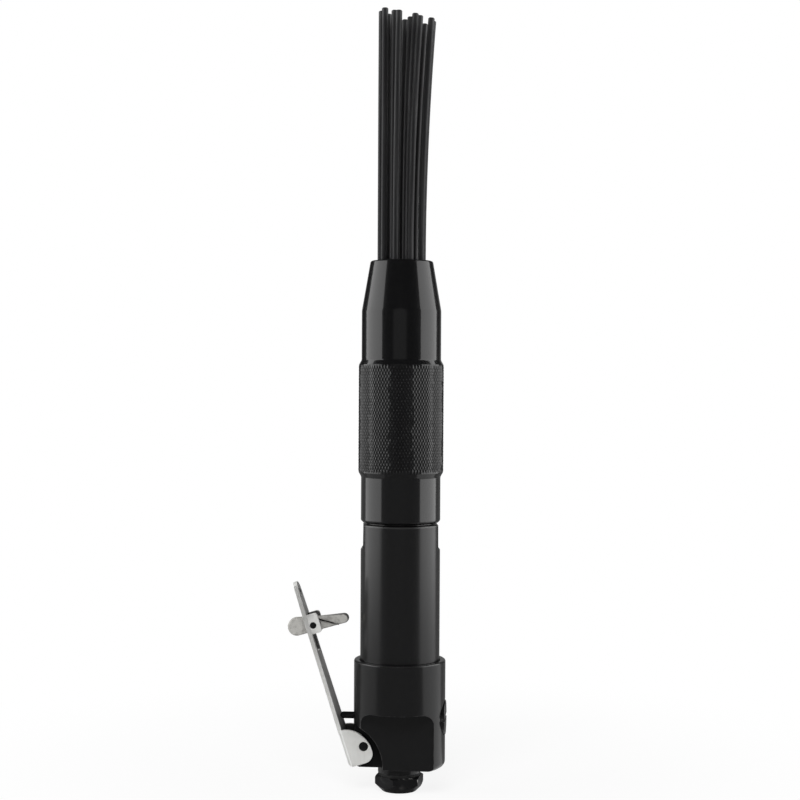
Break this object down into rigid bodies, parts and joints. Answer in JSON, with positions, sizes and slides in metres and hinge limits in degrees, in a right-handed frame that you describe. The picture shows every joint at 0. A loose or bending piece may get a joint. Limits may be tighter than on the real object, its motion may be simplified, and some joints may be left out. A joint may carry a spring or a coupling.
{
  "type": "needle scaler",
  "caption": "Straight air-driven needle scaler: a round two-part body with a knurled grip, a throttle lever with a lock latch, a threaded air inlet and a bundle of steel needles at its nose.",
  "frame": {"origin": "centre of the inlet bushing's end face, at the mouth of the tapped air inlet", "axes": "+Z along the tool towards the needle tips, +X towards the valve plug, away from the throttle lever, +Y completes the right-handed frame"},
  "size_m": [0.0748, 0.0428, 0.365],
  "materials": {
    "black_finish": "semi-gloss black finish on steel",
    "dark_steel": "black oxide",
    "needle_steel": "dark drawn wire",
    "steel": "turned steel",
    "plated_sheet": "zinc-plated pressed sheet",
    "latch_casting": "pale sandy casting",
    "rubber": "matte black",
    "brass": "turned brass"
  },
  "bodies": {
    "tool_body": {"valve_housing": "black_finish", "inlet_bushing": "dark_steel", "inlet_seal": "rubber", "inlet_screen": "brass", "valve_plug": "black_finish", "plug_oring": "rubber", "valve_spring": "steel", "valve_seat": "brass", "stem_oring": "rubber", "lever_pin": "dark_steel", "barrel": "black_finish", "barrel_oring": "rubber", "rear_valve_block": "steel", "front_valve_block": "steel", "locating_pins": "steel", "anvil_guide": "brass", "buffer_ring": "rubber", "front_housing": "black_finish", "front_oring": "rubber", "return_spring": "steel", "spring_washer": "steel"},
    "lever": {"lever": "plated_sheet", "latch_pin": "dark_steel", "latch_spring": "dark_steel"},
    "latch": {"lock_latch": "latch_casting"},
    "throttle": {"throttle_stem": "dark_steel", "poppet_seal": "rubber"},
    "disk": {"disk_valve": "steel"},
    "piston": {"piston": "steel"},
    "anvil": {"anvil": "steel"},
    "holder": {"needle_holder": "steel"},
    "left_needles": {"needles_left": "needle_steel"},
    "middle_needles": {"needles_middle": "needle_steel"},
    "right_needles": {"needles_right": "needle_steel"}
  },
  "joints": [
    {"name": "lever_hinge", "type": "hinge", "parent": "tool_body", "child": "lever", "pos_m": [-0.0161, 0, 0.0216], "axis": [0, 1, 0], "range_deg": [0, 12], "stiffness_Nm_per_rad": 0.15, "springref_deg": -20.05},
    {"name": "latch_hinge", "type": "hinge", "parent": "lever", "child": "latch", "pos_m": [-0.04038, 0, 0.07722], "axis": [0, -1, 0], "range_deg": [0, 63], "deforming": ["latch_spring"]},
    {"name": "throttle_slide", "type": "slide", "parent": "tool_body", "child": "throttle", "axis": [1, 0, 0], "range_m": [0, 0.0031], "deforming": ["valve_spring"]},
    {"name": "disk_slide", "type": "slide", "parent": "tool_body", "child": "disk", "axis": [0, 0, 1], "range_m": [0, 0.0006]},
    {"name": "piston_slide", "type": "slide", "parent": "tool_body", "child": "piston", "axis": [0, 0, 1], "range_m": [0, 0.0225]},
    {"name": "anvil_slide", "type": "slide", "parent": "tool_body", "child": "anvil", "axis": [0, 0, 1], "range_m": [0, 0.005], "stiffness_N_per_m": 2500, "springref_m": -0.004},
    {"name": "holder_slide", "type": "slide", "parent": "tool_body", "child": "holder", "axis": [0, 0, 1], "range_m": [0, 0.005], "deforming": ["return_spring"]},
    {"name": "left_needle_slide", "type": "slide", "parent": "holder", "child": "left_needles", "axis": [0, 0, 1], "range_m": [-0.005, 0.0004]},
    {"name": "middle_needle_slide", "type": "slide", "parent": "holder", "child": "middle_needles", "axis": [0, 0, 1], "range_m": [-0.003, 0.0023]},
    {"name": "right_needle_slide", "type": "slide", "parent": "holder", "child": "right_needles", "axis": [0, 0, 1], "range_m": [-0.0007, 0.0047]}
  ],
  "couplings": [
    {"joint": "latch_hinge", "follows": "lever_hinge", "ratio": 5.25},
    {"joint": "throttle_slide", "follows": "lever_hinge", "m_per_rad": 0.014801},
    {"joint": "holder_slide", "follows": "anvil_slide", "ratio": 1}
  ]
}
